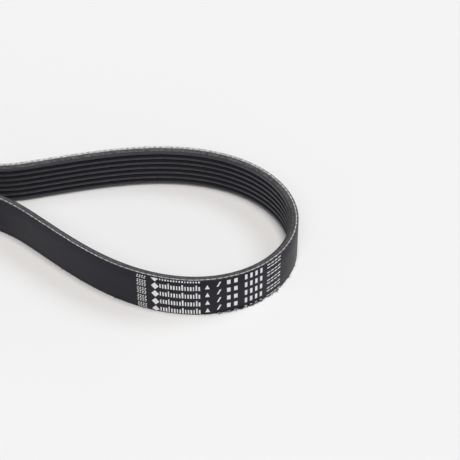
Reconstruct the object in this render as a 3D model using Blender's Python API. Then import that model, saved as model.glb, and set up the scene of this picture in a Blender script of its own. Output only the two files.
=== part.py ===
"""Ribbed serpentine belt standing on its cut edge.

The belt is one endless rubber band with V ribs on the inside and a smooth back
on the outside. It lies as a long loop: a rounded bend at each end, whose strands
draw together and then run side by side. The loop maps onto itself when it is
turned half a turn about the vertical axis through its middle.

Metres, +Z up. The lower cut edge stands on z = 0, the strands run along X, and
the origin is the middle of the loop.
"""
import math

import bpy
import numpy as np

# Ribs, measured across the belt
RIB_COUNT = 7
RIB_PITCH = 0.00356
RIB_HEIGHT = 0.0025
RIB_ANGLE = math.radians(40.0)
GROOVE_FLAT = 0.0006
TIP_BLUNTING = 0.0002

# Body of the belt
BACK_THICKNESS = 0.0020
CORD_DEPTH = 0.0011
BELT_LENGTH = 2.035

# Shape of the loop, measured on the smooth back
TIP_RADIUS = 0.0419
FAR_CLOSING_ANGLE = math.radians(19.8)
FAR_FULLNESS = -0.24
NEAR_CLOSING_ANGLE = math.radians(35.1)
NEAR_FULLNESS = 0.22
FLANK_LENGTH = 0.004
STRAND_GAP = 0.014

# Fineness of the swept surface
TURN_PER_STEP = math.radians(4.8)
SAMPLES_PER_PIECE = 4000

# Rubber
RUBBER_COLOUR = (0.022, 0.022, 0.026, 1.0)
RUBBER_ROUGHNESS = 0.62

BELT_WIDTH = RIB_COUNT * RIB_PITCH
BELT_THICKNESS = BACK_THICKNESS + RIB_HEIGHT


def section_points():
    """Closed outline of the belt across its run, as (depth below the back, height).

    The side edges are cut through the middle of a groove, so half a groove flat
    is left beside each. Every rib rises from its groove flats by straight flanks
    to a flat tip whose two corners are blunted.
    """
    lean = math.tan(RIB_ANGLE / 2.0)
    base = RIB_PITCH - GROOVE_FLAT
    tip = base - 2.0 * RIB_HEIGHT * lean
    flank = math.hypot(RIB_HEIGHT, RIB_HEIGHT * lean)
    drop = TIP_BLUNTING * RIB_HEIGHT / flank
    slip = TIP_BLUNTING * RIB_HEIGHT * lean / flank
    points = [(0.0, BELT_WIDTH), (0.0, 0.0), (BACK_THICKNESS, 0.0)]
    for rib in range(RIB_COUNT):
        middle = (rib + 0.5) * RIB_PITCH
        corner = middle - tip / 2.0
        points.append((BACK_THICKNESS, middle - base / 2.0))
        points.append((BELT_THICKNESS - drop, corner - slip))
        points.append((BELT_THICKNESS, corner + TIP_BLUNTING))
        points.append((BELT_THICKNESS, middle + tip / 2.0 - TIP_BLUNTING))
        points.append((BELT_THICKNESS - drop, middle + tip / 2.0 + slip))
        points.append((BACK_THICKNESS, middle + base / 2.0))
    points.append((BACK_THICKNESS, BELT_WIDTH))
    return points


def bend(closing_angle, fullness):
    """Half of an end bend: distances and headings turned, from the tip outwards.

    The curvature is 1/TIP_RADIUS at the tip and fades to nothing where the flank
    starts: (1 - u)(1 + fullness u)/TIP_RADIUS, with u running from 0 to 1.
    """
    turned = math.pi / 2.0 + closing_angle
    length = turned * TIP_RADIUS / (0.5 + fullness / 6.0)
    u = np.linspace(0.0, 1.0, SAMPLES_PER_PIECE)
    share = u + (fullness - 1.0) * u**2 / 2.0 - fullness * u**3 / 3.0
    return u * length, share * length / TIP_RADIUS


def waist(closing_angle, radius):
    """Bend that turns a closing strand back parallel to its neighbour.

    The curvature rises evenly to 1/radius half way and falls evenly again.
    """
    length = 2.0 * closing_angle * radius
    u = np.linspace(0.0, 1.0, SAMPLES_PER_PIECE)
    share = np.where(u < 0.5, 2.0 * u**2, 1.0 - 2.0 * (1.0 - u)**2)
    return u * length, closing_angle * share


def offsets(distances, headings):
    """Positions along a curve that starts at the origin with the given headings."""
    steps = np.diff(distances)
    middle = (headings[1:] + headings[:-1]) / 2.0
    x = np.concatenate([[0.0], np.cumsum(steps * np.cos(middle))])
    y = np.concatenate([[0.0], np.cumsum(steps * np.sin(middle))])
    return x, y


def half_loop():
    """Arc lengths and headings of half the loop, from the tip at +X to that at -X."""
    quarter = math.pi / 2.0
    far_bend = bend(FAR_CLOSING_ANGLE, FAR_FULLNESS)
    near_bend = bend(NEAR_CLOSING_ANGLE, NEAR_FULLNESS)
    reach = sum(offsets(s, quarter + turn)[1][-1] for s, turn in (far_bend, near_bend))
    angles = (FAR_CLOSING_ANGLE, NEAR_CLOSING_ANGLE)
    flanks = sum(FLANK_LENGTH * math.sin(angle) for angle in angles)
    unit_waists = [waist(angle, 1.0) for angle in angles]
    unit_drop = sum(offsets(s, angle - turn)[1][-1]
                    for angle, (s, turn) in zip(angles, unit_waists))
    gap_at_back = STRAND_GAP + 2.0 * BELT_THICKNESS
    waist_radius = (reach - flanks - gap_at_back) / unit_drop
    far_waist = waist(FAR_CLOSING_ANGLE, waist_radius)
    near_waist = waist(NEAR_CLOSING_ANGLE, waist_radius)

    back_length = BELT_LENGTH + 2.0 * math.pi * CORD_DEPTH
    curved = far_bend[0][-1] + near_bend[0][-1] + far_waist[0][-1] + near_waist[0][-1]
    straight = back_length / 2.0 - curved - 2.0 * FLANK_LENGTH

    far_heading = math.pi + FAR_CLOSING_ANGLE
    near_heading = math.pi - NEAR_CLOSING_ANGLE
    pieces = [
        (far_bend[0], quarter + far_bend[1]),
        (np.array([0.0, FLANK_LENGTH]), np.full(2, far_heading)),
        (far_waist[0], far_heading - far_waist[1]),
        (np.array([0.0, straight]), np.full(2, math.pi)),
        (near_waist[0], math.pi - near_waist[1]),
        (np.array([0.0, FLANK_LENGTH]), np.full(2, near_heading)),
        (near_bend[0][-1] - near_bend[0][::-1], 3.0 * quarter - near_bend[1][::-1]),
    ]
    return pieces


def stations():
    """Points of half the loop's back where the section is set, from tip to tip."""
    x, y = [0.0], [0.0]
    for distances, headings in half_loop():
        turned = abs(headings[-1] - headings[0])
        steps = max(1, round(turned / TURN_PER_STEP))
        along_x, along_y = offsets(distances, headings)
        spacing = np.abs(np.diff(headings)) / np.diff(distances) + 1e-9
        weight = np.concatenate([[0.0], np.cumsum(spacing**0.6 * np.diff(distances))])
        marks = np.linspace(0.0, weight[-1], steps + 1)[1:]
        at = np.interp(marks, weight, distances)
        start_x, start_y = x[-1], y[-1]
        x.extend(start_x + np.interp(at, distances, along_x))
        y.extend(start_y + np.interp(at, distances, along_y))
    x, y = np.array(x), np.array(y)
    return x - x[-1] / 2.0, y - y[-1] / 2.0


def make_guide(name, points, cyclic=True):
    """Curve of straight runs through the given points, kept as a hidden guide."""
    curve = bpy.data.curves.new(name, "CURVE")
    curve.dimensions = "3D"
    curve.twist_mode = "Z_UP"
    spline = curve.splines.new("POLY")
    spline.points.add(len(points) - 1)
    for slot, (x, y) in zip(spline.points, points):
        slot.co = (x, y, 0.0, 1.0)
    spline.use_cyclic_u = cyclic
    guide = bpy.data.objects.new(name, curve)
    guide.hide_render = True
    guide.display_type = "WIRE"
    bpy.context.scene.collection.objects.link(guide)
    return guide


def make_belt():
    """Sweep the ribbed section round the loop and keep the result as a mesh."""
    x, y = stations()
    half = list(zip(x[:-1], y[:-1]))
    loop = half + [(-px, -py) for px, py in half]
    section = make_guide("section_guide", [(-depth, z) for depth, z in section_points()])
    path = make_guide("path_guide", loop)
    path.data.bevel_mode = "OBJECT"
    path.data.bevel_object = section
    graph = bpy.context.evaluated_depsgraph_get()
    mesh = bpy.data.meshes.new_from_object(path.evaluated_get(graph))
    mesh.name = "belt"
    path.data.bevel_object = None
    mesh.shade_smooth()
    mesh.set_sharp_from_angle(angle=math.radians(18.0))
    belt = bpy.data.objects.new("belt", mesh)
    bpy.context.scene.collection.objects.link(belt)
    return belt


def rubber():
    """Matte black moulded rubber."""
    material = bpy.data.materials.new("rubber")
    material.use_nodes = True
    shader = material.node_tree.nodes["Principled BSDF"]
    shader.inputs["Base Color"].default_value = RUBBER_COLOUR
    shader.inputs["Roughness"].default_value = RUBBER_ROUGHNESS
    shader.inputs["Metallic"].default_value = 0.0
    return material


for leftover in list(bpy.data.objects):
    bpy.data.objects.remove(leftover, do_unlink=True)

belt = make_belt()
belt.data.materials.clear()
belt.data.materials.append(rubber())
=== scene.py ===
"""Looks of a ribbed serpentine belt that stands on its cut edge."""
import math

import bpy
import numpy as np
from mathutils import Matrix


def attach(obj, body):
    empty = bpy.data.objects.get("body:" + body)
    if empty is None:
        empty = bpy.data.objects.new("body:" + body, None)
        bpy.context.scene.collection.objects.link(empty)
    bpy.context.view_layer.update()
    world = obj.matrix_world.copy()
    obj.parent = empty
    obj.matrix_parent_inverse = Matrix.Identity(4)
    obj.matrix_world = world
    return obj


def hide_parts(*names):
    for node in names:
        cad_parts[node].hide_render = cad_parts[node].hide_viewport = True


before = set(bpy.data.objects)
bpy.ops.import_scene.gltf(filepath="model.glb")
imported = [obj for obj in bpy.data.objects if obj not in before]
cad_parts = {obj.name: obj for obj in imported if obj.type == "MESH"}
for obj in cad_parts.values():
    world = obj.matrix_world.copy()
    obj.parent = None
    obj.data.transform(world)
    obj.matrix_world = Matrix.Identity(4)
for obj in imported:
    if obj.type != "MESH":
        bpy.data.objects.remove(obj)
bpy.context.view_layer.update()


# The lay of the belt.
# The real belt is one endless moulded band set down on its cut edge as a long loop: a
# rounded bend at each end, a waist beside each bend, and two straight strands (in metres).
rib_count = 7
rib_pitch = 0.00356
rib_height = 0.0025
back_thickness = 0.0020
belt_width = rib_count * rib_pitch
belt_thickness = back_thickness + rib_height
cord_depth = 0.0011
belt_length = 2.035
tip_radius = 0.0419
far_closing, far_fullness = math.radians(19.8), -0.24
near_closing, near_fullness = math.radians(35.1), 0.22
flank_length = 0.004
strand_gap = 0.014
bend_samples = 4000
flank_samples = 50
strand_samples = 2000


def end_bend(closing, fullness):
    """Distances and turned headings of half an end bend, from its tip.

    With u running from 0 to 1 the curvature is (1 - u)(1 + fullness u) / tip radius.
    """
    length = (math.pi / 2 + closing) * tip_radius / (0.5 + fullness / 6)
    u = np.linspace(0, 1, bend_samples)
    share = u + (fullness - 1) * u**2 / 2 - fullness * u**3 / 3
    return u * length, share * length / tip_radius


def waist(closing, radius):
    """Distances and turned headings of the bend that sets a strand parallel again.

    The curvature rises evenly to 1 / radius half way and falls evenly again.
    """
    u = np.linspace(0, 1, bend_samples)
    share = np.where(u < 0.5, 2 * u**2, 1 - 2 * (1 - u) ** 2)
    return u * 2 * closing * radius, closing * share


def walk(distances, headings):
    """Positions along a curve from its headings: each short step goes its mean heading."""
    steps = np.diff(distances)
    mean = (headings[1:] + headings[:-1]) / 2
    return np.r_[0, np.cumsum(steps * np.cos(mean))], np.r_[0, np.cumsum(steps * np.sin(mean))]


def lay_of_the_loop():
    """Distance, position and heading all round the smooth back, from the tip at +X.

    Half the loop is walked piece by piece and centred; the other half is the same turned
    half a turn about the vertical. The waists take the radius that leaves the strand gap,
    and the strands take what is left of the belt's length.
    """
    quarter = math.pi / 2
    far, near = end_bend(far_closing, far_fullness), end_bend(near_closing, near_fullness)
    reach = walk(far[0], quarter + far[1])[1][-1] + walk(near[0], quarter + near[1])[1][-1]
    closings = (far_closing, near_closing)
    unit_drop = sum(walk(waist(c, 1)[0], c - waist(c, 1)[1])[1][-1] for c in closings)
    flanks = sum(flank_length * math.sin(c) for c in closings)
    radius = (reach - flanks - strand_gap - 2 * belt_thickness) / unit_drop
    far_waist, near_waist = waist(far_closing, radius), waist(near_closing, radius)
    curved = far[0][-1] + near[0][-1] + far_waist[0][-1] + near_waist[0][-1]
    half_length = belt_length / 2 + math.pi * cord_depth
    straight = half_length - curved - 2 * flank_length
    flank = np.linspace(0, flank_length, flank_samples)
    strand = np.linspace(0, straight, strand_samples)
    pieces = [
        (far[0], quarter + far[1]),
        (flank, np.full(flank_samples, math.pi + far_closing)),
        (far_waist[0], math.pi + far_closing - far_waist[1]),
        (strand, np.full(strand_samples, math.pi)),
        (near_waist[0], math.pi - near_waist[1]),
        (flank, np.full(flank_samples, math.pi - near_closing)),
        (near[0][-1] - near[0][::-1], 3 * quarter - near[1][::-1]),
    ]
    s, h = np.zeros(1), np.full(1, quarter)
    for distances, headings in pieces:
        s, h = np.r_[s, s[-1] + distances[1:]], np.r_[h, headings[1:]]
    x, y = walk(s, h)
    x, y = x - x[-1] / 2, y - y[-1] / 2
    return (np.r_[s, half_length + s[1:]], np.r_[x, -x[1:]], np.r_[y, -y[1:]],
            np.r_[h, math.pi + h[1:]])


route_s, route_x, route_y, route_h = lay_of_the_loop()
loop_length = route_s[-1]


def place(distance, depth, height):
    """Points of the belt: a distance along its back, then inwards by the depth, then up."""
    distance, depth, height = np.broadcast_arrays(distance, depth, height)
    s = np.mod(distance, loop_length)
    x, y, h = (np.interp(s, route_s, r) for r in (route_x, route_y, route_h))
    return np.stack([x - np.sin(h) * depth, y + np.cos(h) * depth, height], axis=-1)


def stations(count, evenness):
    """Distances round the loop, closest where the belt bends most.

    They share out evenly the sum of the curvature to the power 0.6 and the evenness.
    """
    bend = np.abs(np.gradient(route_h, route_s)) ** 0.6 + evenness
    share = np.r_[0, np.cumsum((bend[1:] + bend[:-1]) / 2 * np.diff(route_s))]
    return np.interp(np.linspace(0, share[-1], count + 1), share, route_s)


# The rubber band.
# It is black rubber moulded round tension cords, smooth outside, with seven ribs ground
# inside. Knives cut it to width through the middle of a groove and leave rough grey edges.
rib_lean = math.tan(math.radians(20))
groove_flat = 0.0006
fuller_flank = 0.00018
seat_reach = 0.00024
seat_sink = 0.00014
seat_corner = 0.00004
back_corner = 0.00030
crest_corner = 0.0003
groove_corner = 0.00022
knife_corner = 0.0001
edge_slack = 0.00002
band_stations = 760
back_relief, edge_relief, rib_relief = 0.00004, 0.00012, 0.00006
back_black = (0.0064, 0.0059, 0.0134, 1)
back_worn = (0.0138, 0.0129, 0.0238, 1)
edge_grey = (0.080, 0.078, 0.083, 1)
edge_dark = (0.042, 0.041, 0.045, 1)
flank_grey = (0.122, 0.121, 0.126, 1)
flank_dark = (0.022, 0.021, 0.025, 1)
cover_dark = (0.018, 0.0175, 0.021, 1)
lint_pale = (0.84, 0.84, 0.82, 1)
lint_stretches = 4
lint_start = 0.15
ply_pitch = 0.0031
rib_black = (0.0130, 0.0124, 0.0208, 1)
rib_fleck = (0.105, 0.102, 0.118, 1)


def band_section():
    """Closed outline across the belt as rows of (depth, height).

    A corner with its two neighbours gives three points of a parabola, so that every edge
    of the outline is rounded by its own reach. The knives left the top rib's outer flank a
    little fuller and its corners crisper.
    """
    base = rib_pitch - groove_flat
    tip = base - 2 * rib_height * rib_lean
    seat = [(cord_depth - seat_reach, 0, seat_corner),
            (cord_depth - 0.7 * seat_reach, seat_sink, seat_corner),
            (cord_depth + 0.7 * seat_reach, seat_sink, seat_corner),
            (cord_depth + seat_reach, 0, seat_corner)]
    corners = [(0, belt_width, back_corner), (0, belt_width * 0.66, 0),
               (0, belt_width * 0.33, 0), (0, 0, back_corner), *seat,
               (back_thickness, 0, knife_corner)]
    for rib in range(rib_count):
        middle = (rib + 0.5) * rib_pitch
        topmost = rib == rib_count - 1
        over = fuller_flank if topmost else 0
        crest, foot = (knife_corner, knife_corner) if topmost else (crest_corner, groove_corner)
        corners += [(back_thickness, middle - base / 2, groove_corner),
                    (belt_thickness, middle - tip / 2, crest_corner),
                    (belt_thickness, middle + tip / 2 + over, crest),
                    (back_thickness, middle + base / 2 + over, foot)]
    corners += [(back_thickness, belt_width, knife_corner)]
    corners += [(depth, belt_width - height, reach) for depth, height, reach in seat[::-1]]
    spot, reach = np.array(corners)[:, :2], np.array(corners)[:, 2:]
    before, after = np.roll(spot, 1, 0) - spot, np.roll(spot, -1, 0) - spot
    start = spot + before / np.linalg.norm(before, axis=1, keepdims=True) * reach
    end = spot + after / np.linalg.norm(after, axis=1, keepdims=True) * reach
    u = np.linspace(0, 1, 3)[None, :, None]
    rounded = (1 - u) ** 2 * start[:, None] + 2 * u * (1 - u) * spot[:, None] + u**2 * end[:, None]
    kept = np.where(reach > 0, True, np.arange(3) == 0)
    return rounded[kept]


def surface(name, points, layers, zones=None):
    """Mesh of a grid of points that closes on itself both along the piece and round it.

    points has rows along the piece and columns round it. layers gives a UV map for each
    name, one column and row wider than points, and zones each column's material.
    """
    rows, columns = points.shape[:2]
    i, j = np.arange(rows)[:, None], np.arange(columns)[None, :]
    i2, j2 = (i + 1) % rows, (j + 1) % columns
    quads = np.stack([i * columns + j, i * columns + j2, i2 * columns + j2, i2 * columns + j], -1)
    corner = quads.ravel().astype(np.int32)
    mesh = bpy.data.meshes.new(name)
    mesh.vertices.add(rows * columns)
    mesh.vertices.foreach_set("co", points.reshape(-1).astype(np.float32))
    mesh.loops.add(len(corner))
    mesh.loops.foreach_set("vertex_index", corner)
    mesh.polygons.add(rows * columns)
    mesh.polygons.foreach_set("loop_start", np.arange(0, len(corner), 4, dtype=np.int32))
    if zones is not None:
        mesh.polygons.foreach_set("material_index", np.tile(zones, rows).astype(np.int32))
    mesh.update(calc_edges=True)
    mesh.validate()
    wide = columns + 1
    at = np.stack([i * wide + j, i * wide + j + 1, (i + 1) * wide + j + 1, (i + 1) * wide + j], -1)
    for layer, uv in layers.items():
        flat = uv.reshape(-1, 2)[at.ravel()].astype(np.float32)
        mesh.uv_layers.new(name=layer).data.foreach_set("uv", flat.ravel())
    mesh.shade_smooth()
    piece = bpy.data.objects.new(name, mesh)
    bpy.context.scene.collection.objects.link(piece)
    return piece


class Tone:
    """A socket of a material; arithmetic on it adds the Math nodes that work it out."""

    def __init__(self, tree, socket):
        self.tree, self.socket = tree, socket

    def node(self, kind, settings=None, inputs=None, output=0):
        """Adds one node: its settings first, then the values or links of its sockets."""
        added = self.tree.nodes.new(kind)
        for key, value in (settings or {}).items():
            if key == "stops":
                ramp = added.color_ramp
                while len(ramp.elements) < len(value):
                    ramp.elements.new(1)
                for stop, (position, level) in zip(ramp.elements, value):
                    stop.position, stop.color = position, (level, level, level, 1)
            else:
                setattr(added, key, value)
        for key, value in (inputs or {}).items():
            if isinstance(value, Tone):
                self.tree.links.new(value.socket, added.inputs[key])
            else:
                added.inputs[key].default_value = value
        return Tone(self.tree, added.outputs[output])

    def math(self, operation, *operands):
        """One step of arithmetic on values and sockets."""
        return self.node("ShaderNodeMath", {"operation": operation}, dict(enumerate(operands)))

    def __add__(self, other):
        return self.math("ADD", self, other)

    def __radd__(self, other):
        return self.math("ADD", other, self)

    def __sub__(self, other):
        return self.math("SUBTRACT", self, other)

    def __rsub__(self, other):
        return self.math("SUBTRACT", other, self)

    def __mul__(self, other):
        return self.math("MULTIPLY", self, other)

    def __rmul__(self, other):
        return self.math("MULTIPLY", other, self)

    def noise(self, stretch, detail=3.0, roughness=0.6):
        """Noise over this coordinate, stretched by a number of features per metre each way."""
        drawn = self.node("ShaderNodeVectorMath", {"operation": "MULTIPLY"}, {0: self, 1: stretch})
        return self.node("ShaderNodeTexNoise", {"noise_dimensions": "3D"},
                         {"Vector": drawn, "Scale": 1.0, "Detail": detail, "Roughness": roughness})

    def ramp(self, *stops):
        """Maps this value through straight lines between (position, level) stops."""
        return self.node("ShaderNodeValToRGB", {"stops": stops}, {0: self})

    def blend(self, low, high):
        """Mixes two colours, sockets 6 and 7 of the Mix node, by this value."""
        return self.node("ShaderNodeMix", {"data_type": "RGBA"}, {0: self, 6: low, 7: high}, 2)

    def part(self, axis):
        """One coordinate of this vector."""
        return self.node("ShaderNodeSeparateXYZ", None, {0: self}, axis)


def start_material(name, **constants):
    """A Principled material with its constants set, its shader, and a Tone to start from."""
    material = bpy.data.materials.new(name)
    material.use_nodes = True
    tree = material.node_tree
    shader = tree.nodes["Principled BSDF"]
    for key, value in constants.items():
        shader.inputs[key.replace("_", " ")].default_value = value
    return material, shader, Tone(tree, None)


def feed(shader, **sources):
    """Links what varies over the surface to the shader's sockets."""
    for key, tone in sources.items():
        tone.tree.links.new(tone.socket, shader.inputs[key.replace("_", " ")])


def bumped(tone, strength, reach, height):
    """Normal of a rough skin: its relief is at most the reach, in metres."""
    return tone.node("ShaderNodeBump", None,
                     {"Strength": strength, "Distance": reach, "Height": height})


def knife_grey(run, spot):
    """How grey the knives left the rubber: long streaks, torn grain and broad drifts."""
    streak = run.noise((150, 2200, 1), 2, 0.5).ramp((0.40, 0), (0.60, 1))
    torn = spot.noise((620, 620, 620), 2, 0.6).ramp((0.42, 0), (0.58, 1))
    fine = spot.noise((3000, 3000, 3000), 3, 0.6)
    return streak * 0.30 + torn * 0.50 + fine * 0.16, torn * 0.4 + fine * 0.6 + streak * 0.4


def back_rubber():
    """Smooth back: near black, faintly mottled, scuffed and drawn along the run, satin."""
    material, shader, tone = start_material("back_rubber", IOR=1.5, Specular_IOR_Level=0.22)
    run = tone.node("ShaderNodeUVMap", {"uv_map": "run"})
    spot = tone.node("ShaderNodeTexCoord", output="Object")
    cloudy = spot.noise((55, 55, 55), 4, 0.55).ramp((0.35, 0), (0.7, 1))
    drawn = run.noise((60, 1500, 1), 3).ramp((0.4, 0), (0.75, 1))
    grain = spot.noise((5200, 5200, 5200), 2, 0.7)
    scuff = run.noise((140, 420, 1), 6, 0.75).ramp((0.62, 0), (0.78, 1))
    worn = cloudy * 0.35 + drawn * 0.25 + scuff * 0.3
    feed(shader, Base_Color=worn.blend(back_black, back_worn),
         Roughness=0.41 + cloudy * 0.05 + grain * 0.10 - drawn * 0.04,
         Normal=bumped(tone, 0.35, back_relief, grain * 0.5 + drawn * 0.3))
    return material


def ply_crests(run):
    """Where the plies of the twisted tension cord rise: full at each crest, none between.

    The distance between crests wanders a little round the ply pitch.
    """
    wander = run.noise((70, 70, 1), 1, 0.5) * 3.0
    turn = run.part(0) * (math.pi / ply_pitch) + wander
    return turn.math("ABSOLUTE", turn.math("COSINE", turn)).ramp((0.25, 0), (0.75, 1))


def edge_rubber():
    """Cut edge: grey and torn inside the cord, blacker in the cover and beside the ribs.

    Pale lint from the cord lies over it, thickest along evenly spaced stretches of the loop
    by the square of a sine wave; the thinner it lies, the more it breaks up over the plies.
    """
    material, shader, tone = start_material("cut_edge_rubber", IOR=1.5, Specular_IOR_Level=0.4)
    run = tone.node("ShaderNodeUVMap", {"uv_map": "run"})
    depth = tone.node("ShaderNodeUVMap", {"uv_map": "section"}).part(0) * (1 / belt_thickness)
    spot = tone.node("ShaderNodeTexCoord", output="Object")
    grey, height = knife_grey(run, spot)
    inside = depth.ramp((0.20, 0), (0.27, 1))
    fading = depth.ramp((0.31, 1), (0.38, 0.15))
    cut = (grey * fading).blend(edge_dark, edge_grey)
    turn = run.part(0) * (2 * math.pi * lint_stretches / loop_length) - lint_start
    thick = turn.math("SINE", turn) * 0.5 + 0.5
    near = depth.ramp((0.30, 1), (0.44, 0))
    tufts = run.noise((380, 900, 1), 2, 0.5).ramp((0.40, 0.40), (0.58, 0.85))
    beat = 1 - (1 - ply_crests(run)) * (1.15 - thick * 0.95)
    lint = thick * thick * near * tufts * beat
    feed(shader, Base_Color=lint.blend(inside.blend(cover_dark, cut), lint_pale),
         Roughness=0.62 + grey * 0.2,
         Normal=bumped(tone, 0.7, edge_relief, height))
    return material


def rib_rubber():
    """Ground ribs: dull black, drawn along the run, with pale fibre ends and lighter crests.

    Round each end bend's tip, where a cosine of two waves to the loop peaks, the crests are
    made palest and all the ribs a little paler, a painted highlight. The outer flank of the
    first and the last rib was sliced by the knives: it is torn, grey and duller, and its grey
    fades to dark before the crest, a painted shade.
    """
    material, shader, tone = start_material("rib_rubber", IOR=1.5, Specular_IOR_Level=0.5,
                                            Sheen_Weight=0.12, Sheen_Roughness=0.35)
    run = tone.node("ShaderNodeUVMap", {"uv_map": "run"})
    section = tone.node("ShaderNodeUVMap", {"uv_map": "section"})
    spot = tone.node("ShaderNodeTexCoord", output="Object")
    ground = run.noise((35, 4200, 1), 4, 0.6).ramp((0.3, 0), (0.7, 1))
    fibre = run.noise((1100, 5200, 1), 2, 0.6).ramp((0.66, 0), (0.74, 1))
    grain = spot.noise((4200, 4200, 4200), 3, 0.7)
    depth, up = section.part(0) * (1 / belt_thickness), section.part(1)
    crest = depth.ramp((0.90, 0), (0.985, 1))
    worn = run.noise((260, 1200, 1), 2, 0.5).ramp((0.42, 0), (0.60, 1))
    # Painted highlight: the crests and the ribs are made paler round the tip of each end bend.
    turn = run.part(0) * (4 * math.pi / loop_length)
    painted_tip_highlight = turn.math("COSINE", turn).ramp((0.91, 0), (0.985, 1))
    # Crest paleness is wear from the noises plus the painted highlight round the tips.
    crest_wear_and_highlight = 0.10 + ground * 0.12 + worn * 0.20 + painted_tip_highlight * 0.60
    pale = ground * 0.06 + fibre * 0.30 + crest * crest_wear_and_highlight + painted_tip_highlight * 0.06
    grey, torn = knife_grey(run, spot)
    from_edge = up.math("MINIMUM", up, belt_width - up) * (1 / (0.35 * rib_pitch))
    sliced = from_edge.ramp((0.70, 1), (0.86, 0))
    # Painted shade: the sliced flank's grey fades to dark towards the crest.
    fading = depth.ramp((0.42, 0.45), (0.52, 1), (0.75, 1), (0.84, 0))
    plain = pale.blend(rib_black, rib_fleck)
    cut = (grey * fading).blend(flank_dark, flank_grey)
    height = grain * 0.6 + ground * 0.6 + sliced * torn
    feed(shader, Base_Color=sliced.blend(plain, cut),
         Roughness=0.50 + grain * 0.12 + sliced * 0.28,
         Normal=bumped(tone, 0.5, rib_relief, height))
    return material


outline = band_section()
rounds = stations(band_stations, 0.9)
depth_row, height_row = outline[:, 0], outline[:, 1]
band_points = place(rounds[:-1, None], depth_row[None, :], height_row[None, :])
closed_row = np.vstack([outline, outline[:1]])
perimeter = np.r_[0, np.cumsum(np.linalg.norm(np.diff(closed_row, axis=0), axis=1))]
run_map = np.stack(np.broadcast_arrays(rounds[:, None], perimeter[None, :]), -1)
section_map = np.broadcast_to(closed_row[None], (len(rounds), *closed_row.shape))
between = (closed_row[1:] + closed_row[:-1]) / 2
from_cut = np.minimum(between[:, 1], belt_width - between[:, 1])
on_back = (between[:, 0] < 0.5 * back_corner) & (from_cut > 0.2 * back_corner)
on_edge = (between[:, 0] < back_thickness + edge_slack) & (from_cut < back_corner)
zone = np.where(on_back, 0, np.where(on_edge, 1, 2))
band = surface("rubber_band", band_points, {"run": run_map, "section": section_map}, zone)
for rubber in (back_rubber(), edge_rubber(), rib_rubber()):
    band.data.materials.append(rubber)
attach(band, "root")
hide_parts("belt")


# The tension cord in the cut edges.
# Three-ply polyester cord is wound through the belt from side to side. Where the knives
# cut the band to width they lay one turn bare, so a pale thread shows in each cut edge.
strand_radius = 0.00019
strand_lay = 3 * ply_pitch
strand_rings = 5200
strand_sides = 8
thread_girth = 0.0016
strand_drift = 0.00006
upper_sink = 0.00004
lower_rise = 0.00002
upper_bob = 0.00005
cord_pale = (0.86, 0.86, 0.85, 1)
cord_grey = (0.16, 0.158, 0.16, 1)


def sunk_strand(name, height, bob):
    """Three-ply thread along the loop.

    Its radius swells three times round and turns once in each lay, and its middle bobs up
    and drifts inwards by slow waves, so the rubber covers it here and there.
    """
    turns = round(loop_length / strand_lay)
    d = np.linspace(0, loop_length, strand_rings, endpoint=False)[:, None]
    angle = np.linspace(0, 2 * math.pi, strand_sides, endpoint=False)[None, :]
    twist = 2 * math.pi * turns * d / loop_length
    radius = strand_radius * (0.72 + 0.28 * np.abs(np.cos(1.5 * (angle - twist))))
    wave = 2 * math.pi * d / loop_length
    lift = bob * (np.sin(23 * wave) + 0.8 * np.sin(61 * wave + 1) + 0.7 * np.sin(149 * wave + 2))
    drift = strand_drift * np.sin(37 * wave + 0.5)
    depth = cord_depth + drift + radius * np.cos(angle)
    points = place(d, depth, height + lift + radius * np.sin(angle))
    rows, columns = np.r_[d[:, 0], loop_length], np.linspace(0, thread_girth, strand_sides + 1)
    return surface(name, points, {"run": np.stack(np.meshgrid(rows, columns, indexing="ij"), -1)})


def cord_thread():
    """Pale twisted polyester: clean on the crests of its plies, black dust between them."""
    material, shader, tone = start_material("cord_thread", Sheen_Weight=0.15)
    run = tone.node("ShaderNodeUVMap", {"uv_map": "run"})
    smudge = run.noise((430, 500, 1), 2, 0.5).ramp((0.42, 0), (0.58, 1))
    fine = run.noise((3000, 3000, 1), 2)
    clean = ply_crests(run) * 0.62 + smudge * 0.28 + fine * 0.10
    feed(shader, Base_Color=clean.blend(cord_grey, cord_pale), Roughness=0.75 + fine * 0.15)
    return material


thread = cord_thread()
upper = sunk_strand("upper_edge_cord", belt_width - upper_sink, upper_bob)
lower = sunk_strand("lower_edge_cord", strand_radius + lower_rise, 0.0)
for strand in (upper, lower):
    strand.data.materials.append(thread)
    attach(strand, "root")


# The frayed ends on the cut edges.
# The knives leave short hairs of cord and chopped fibre standing along the bared thread,
# and a fringe of torn rubber where the lower edge has rubbed on something.
hair_count = 6400
hair_radius = 0.000028
hair_root = 0.00005
hair_spots = 5000
hair_bunch, hair_scatter = 0.0005, 0.0004
usual_hair, shortest_hair, longest_hair = 0.00020, 0.0002, 0.0010
crumb_count = 1500
crumb_radius = 0.00013
crumb_root, lowest_crumb, highest_crumb = 0.00006, 0.00008, 0.0005
crumb_middle, crumb_spread = 0.044, 0.011
crumb_clump, clump_rate = 0.0009, 1100
usual_crumb, shortest_crumb, longest_crumb = 0.00040, 0.0003, 0.0021
least_height = 0.00002


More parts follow.
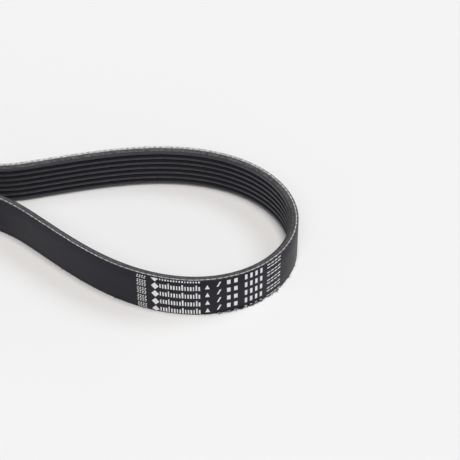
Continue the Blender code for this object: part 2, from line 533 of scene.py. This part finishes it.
def fringe(root, lean, length, radius):
    """Points of short tapering hairs, each as four rings of three.

    A hair leaves its root along its lean, rises ever more slowly, and narrows to a quarter
    of its radius; roots and leans are (along the belt, inwards, up).
    """
    u = np.linspace(0, 1, 4)[None, :, None, None]
    angle = np.linspace(0, 2 * math.pi, 3, endpoint=False)[None, None, :, None]
    way = lean / np.linalg.norm(lean, axis=1, keepdims=True)
    side = np.cross(way, [0.31, 0.17, 0.94])
    side = side / np.linalg.norm(side, axis=1, keepdims=True)
    other = np.cross(way, side)
    slowing = np.concatenate([u**0, u**0, 1 - 0.4 * u], -1)
    line = root[:, None, None] + (way * length[:, None])[:, None, None] * u * slowing
    round_line = np.cos(angle) * side[:, None, None] + np.sin(angle) * other[:, None, None]
    points = line + np.reshape(radius, (-1, 1, 1, 1)) * (1 - 0.75 * u) * round_line
    return place(points[..., 0], points[..., 1], np.maximum(points[..., 2], least_height))


def tubes(name, points):
    """One mesh of many tubes: points has tubes, rings and sides; both ends are capped."""
    count, rings, sides = points.shape[:3]
    k = np.arange(count)[:, None, None] * rings * sides
    i, j = np.arange(rings - 1)[None, :, None], np.arange(sides)[None, None, :]
    j2 = (j + 1) % sides
    quads = np.stack([k + i * sides + j, k + i * sides + j2,
                      k + (i + 1) * sides + j2, k + (i + 1) * sides + j], -1).reshape(-1, 4)
    ends = np.arange(count)[:, None] * rings * sides
    first, last = ends + np.arange(sides)[::-1], ends + (rings - 1) * sides + np.arange(sides)
    mesh = bpy.data.meshes.new(name)
    mesh.from_pydata(points.reshape(-1, 3).tolist(), [],
                     quads.tolist() + first.tolist() + last.tolist())
    mesh.shade_smooth()
    piece = bpy.data.objects.new(name, mesh)
    bpy.context.scene.collection.objects.link(piece)
    return piece


def cord_hairs():
    """Hairs along the bared thread: bunched at its plies, mostly lying along it.

    They stand thickest where the lint lies thickest, by the same sine wave.
    """
    chance = np.random.default_rng(7)
    spots = np.linspace(0, loop_length, hair_spots, endpoint=False)
    density = 1.2 + np.sin(2 * math.pi * lint_stretches * spots / loop_length - lint_start)
    along = chance.choice(spots, hair_count, p=density / density.sum())
    bunching = hair_bunch * np.sin(along * 2 * math.pi / ply_pitch)
    along += chance.uniform(0, hair_scatter, hair_count) + bunching
    root = np.stack([along, cord_depth + chance.normal(-0.0001, 0.00028, hair_count),
                     np.full(hair_count, belt_width - hair_root)], -1)
    lean = np.stack([chance.normal(0, 0.75, hair_count), chance.normal(-0.05, 0.4, hair_count),
                     chance.uniform(0.15, 0.75, hair_count)], -1)
    length = chance.gamma(2.4, usual_hair, hair_count).clip(shortest_hair, longest_hair)
    return fringe(root, lean, length, hair_radius)


def rubber_fringe():
    """Torn bits at the lower back corner: most lie on one stretch of each end bend.

    Two in three are scattered round the worn stretch and one in three anywhere; every other
    one then moves half way round the loop, and a sine wave draws them into clumps.
    """
    chance = np.random.default_rng(11)
    worn = loop_length - chance.normal(crumb_middle, crumb_spread, crumb_count)
    anywhere = chance.uniform(0, loop_length, crumb_count)
    along = np.where(np.arange(crumb_count) % 3 > 0, worn, anywhere)
    along = np.where(np.arange(crumb_count) % 2 > 0, along, along + loop_length / 2)
    along += crumb_clump * np.sin(along * clump_rate)
    root = np.stack([along, np.full(crumb_count, crumb_root),
                     chance.uniform(lowest_crumb, highest_crumb, crumb_count)], -1)
    lean = np.stack([chance.normal(0, 0.7, crumb_count), chance.uniform(-1, -0.2, crumb_count),
                     chance.normal(-0.1, 0.25, crumb_count)], -1)
    length = chance.gamma(2.2, usual_crumb, crumb_count).clip(shortest_crumb, longest_crumb)
    return fringe(root, lean, length, chance.uniform(0.4, 1.3, crumb_count) * crumb_radius)


def fibre_finish(name, dull, bright):
    """Matt fibre whose colour wanders from hair to hair."""
    material, shader, tone = start_material(name, Sheen_Weight=0.1)
    spot = tone.node("ShaderNodeTexCoord", output="Object")
    shade = spot.noise((900, 900, 900), 2).ramp((0.35, 0), (0.62, 1))
    feed(shader, Base_Color=shade.blend(dull, bright), Roughness=0.8 + shade * 0.1)
    return material


hairs = tubes("cord_hairs", cord_hairs())
hairs.data.materials.append(fibre_finish("hair_fibre", cord_grey, cord_pale))
crumbs = tubes("rubber_fringe", rubber_fringe())
crumbs.data.materials.append(fibre_finish("torn_rubber", rib_black, edge_dark))
for fray in (hairs, crumbs):
    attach(fray, "root")


# The printed marks on the back.
# White ink is rolled on the smooth back in rows that repeat across the width, and the
# knives cut through the outermost rows. The marks are plain shapes that say nothing.
row_pitch = 0.00575
lowest_row = 0.00060
ink_proud = 0.00003
ink_rooted = 0.00004
edge_margin = 0.00018
least_mark = 0.0005
ink_white = (0.86, 0.86, 0.87, 1)
ink_thin = (0.46, 0.46, 0.47, 1)
shapes = {
    "diamond": [(0.5, 0), (0, 0.5), (-0.5, 0), (0, -0.5)],
    "block": [(0.5, -0.5), (0.5, 0.5), (-0.5, 0.5), (-0.5, -0.5)],
    "slant": [(-0.14, -0.5), (0.5, 0.5), (0.14, 0.5), (-0.5, -0.5)],
    "wedge": [(0.5, -0.5), (0, 0.5), (-0.5, -0.5)],
}


def row_of_marks():
    """The marks of one row, from the run's left end to its right end, as seen on the back.

    Each is its kind, how far its middle lies back from the tip at +X, its width, how high
    its foot stands in the row, and its height.
    """
    marks = []
    for spot in range(16):
        column, line = spot % 4, spot // 4
        marks.append(("block", 0.1059 - 0.00135 * column - 0.0003 * (line % 2), 0.00078,
                      -0.0011 + 0.00125 * line, 0.00064))
    marks.append(("diamond", 0.0963, 0.0041, -0.0015, 0.0049))
    for bar in range(15):
        marks.append(("block", 0.0935 - 0.00144 * bar, 0.00060 + 0.00012 * (bar % 3), 0.0001,
                      0.0040 if bar % 5 == 3 else 0.0029))
    marks.append(("wedge", 0.0692, 0.0025, 0.0011, 0.0031))
    marks.append(("slant", 0.0632, 0.0024, 0.0023, 0.0034))
    marks += [("block", at, 0.0019, 0.0029, 0.0030) for at in (0.0581, 0.0543)]
    marks += [("block", 0.0486 - 0.0030 * bar, 0.0014, 0.0029, 0.0034) for bar in range(4)]
    marks += [("block", 0.0347 - 0.0026 * dash, 0.0020, 0.0034 + 0.0022 * line, 0.0007)
              for line in range(2) for dash in range(4)]
    return marks


def ink_slabs(kind, placed):
    """Thin slabs of one outline, each bent to the back and cut off at the belt's edges.

    The outline is scaled to each mark's width and height, stood on its foot, and set once
    a little below the back and once a little above it.
    """
    shape = np.array(shapes[kind])
    at, width, foot, height = np.array(placed).T[:, :, None]
    s = loop_length - at + width * shape[None, :, 0]
    z = foot + height * (0.5 + shape[None, :, 1])
    z = np.clip(z, edge_margin, belt_width - edge_margin)
    low, high = place(s, ink_rooted, z), place(s, -ink_proud, z)
    return np.stack([low, high], 1)


ink = {}
for row in range(-1, 5):
    for kind, at, width, foot, height in row_of_marks():
        base = lowest_row + row * row_pitch + foot
        if base + least_mark < belt_width and base + height > least_mark:
            ink.setdefault(kind, []).append((at, width, base, height))
slabs = [tubes("ink_" + kind, ink_slabs(kind, placed)) for kind, placed in ink.items()]
ink_finish, ink_shader, ink_tone = start_material("white_ink", IOR=1.45)
ink_spot = ink_tone.node("ShaderNodeTexCoord", output="Object")
ink_cover = ink_spot.noise((1500, 1500, 1500), 4, 0.7).ramp((0.26, 0), (0.44, 1))
feed(ink_shader, Base_Color=ink_cover.blend(ink_thin, ink_white), Roughness=0.5 + ink_cover * 0.1)
for slab in slabs:
    slab.data.materials.append(ink_finish)
    slab.data.shade_flat()
    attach(slab, "root")


# The pale table.
# The belt stands on a plain, very light grey top, matt enough to show only soft shadows.
# It is no part of the belt.
table_radius = 12.0
rim_points = 96
table_low = (0.79, 0.79, 0.79, 1)
table_high = (0.81, 0.81, 0.81, 1)


def round_top():
    """A flat round top: its rim goes once round in even steps."""
    turn = np.linspace(0, 2 * math.pi, rim_points, endpoint=False)
    rim = np.stack([table_radius * np.cos(turn), table_radius * np.sin(turn), 0 * turn], -1)
    mesh = bpy.data.meshes.new("table")
    mesh.from_pydata(rim.tolist(), [], [list(range(rim_points))])
    piece = bpy.data.objects.new("table", mesh)
    bpy.context.scene.collection.objects.link(piece)
    return piece


table = round_top()
table_finish, table_shader, table_tone = start_material("table_white", Specular_IOR_Level=0.2)
table_spot = table_tone.node("ShaderNodeTexCoord", output="Object")
table_haze = table_spot.noise((3, 3, 3), 2)
feed(table_shader, Base_Color=table_haze.blend(table_low, table_high),
     Roughness=0.7 + table_haze * 0.1)
table.data.materials.append(table_finish)


# The studio.
# Broad soft lights stand high over the table, behind it to the right and before it. The
# room has pale walls and a dim ceiling, and the camera looks down from a tripod in front.
walls_to_ceiling = ((0.0, 0.85), (0.22, 0.65), (0.42, 0.08))
camera_place = (0.49629, -0.56676, 0.55876)
camera_dip = math.radians(44.491)
camera_turn = math.radians(6.0)
focal_length = 113.90
film_width = 36.0

world = bpy.data.worlds.new("white_room")
bpy.context.scene.world = world
world.use_nodes = True
room = Tone(world.node_tree, None).node("ShaderNodeTexCoord", output="Generated")
walls = room.part(2).ramp(*walls_to_ceiling)
world.node_tree.links.new(walls.socket, world.node_tree.nodes["Background"].inputs["Color"])


def soft_light(name, toward, spread, strength, colour):
    """A far lamp that shines from one direction and looks as wide as the spread, in degrees.

    Its tilt is the angle between the direction and the vertical, its turn the direction's
    compass angle.
    """
    lamp = bpy.data.lights.new(name, "SUN")
    lamp.angle, lamp.energy, lamp.color = math.radians(spread), strength, colour
    source = bpy.data.objects.new(name, lamp)
    tilt = math.atan2(math.hypot(toward[0], toward[1]), toward[2])
    source.rotation_euler = (tilt, 0, math.atan2(toward[1], toward[0]) + math.pi / 2)
    bpy.context.scene.collection.objects.link(source)


soft_light("overhead", (0.2, -0.06, 2.4), 16, 1.94, (1.04, 1.0, 0.97))
soft_light("right", (1.0, 0.6, 1.5), 27, 0.83, (0.88, 1.0, 1.09))
soft_light("front", (-0.10, -1.4, 1.6), 27, 0.70, (1.0, 1.0, 1.0))

lens = bpy.data.cameras.new("camera")
lens.lens, lens.sensor_width = focal_length, film_width
lens.clip_start, lens.clip_end = 0.01, 100.0
camera = bpy.data.objects.new("camera", lens)
camera.location = camera_place
camera.rotation_euler = (math.pi / 2 - camera_dip, 0, camera_turn)
bpy.context.scene.collection.objects.link(camera)
bpy.context.scene.camera = camera
bpy.context.scene.view_settings.view_transform = "Standard"
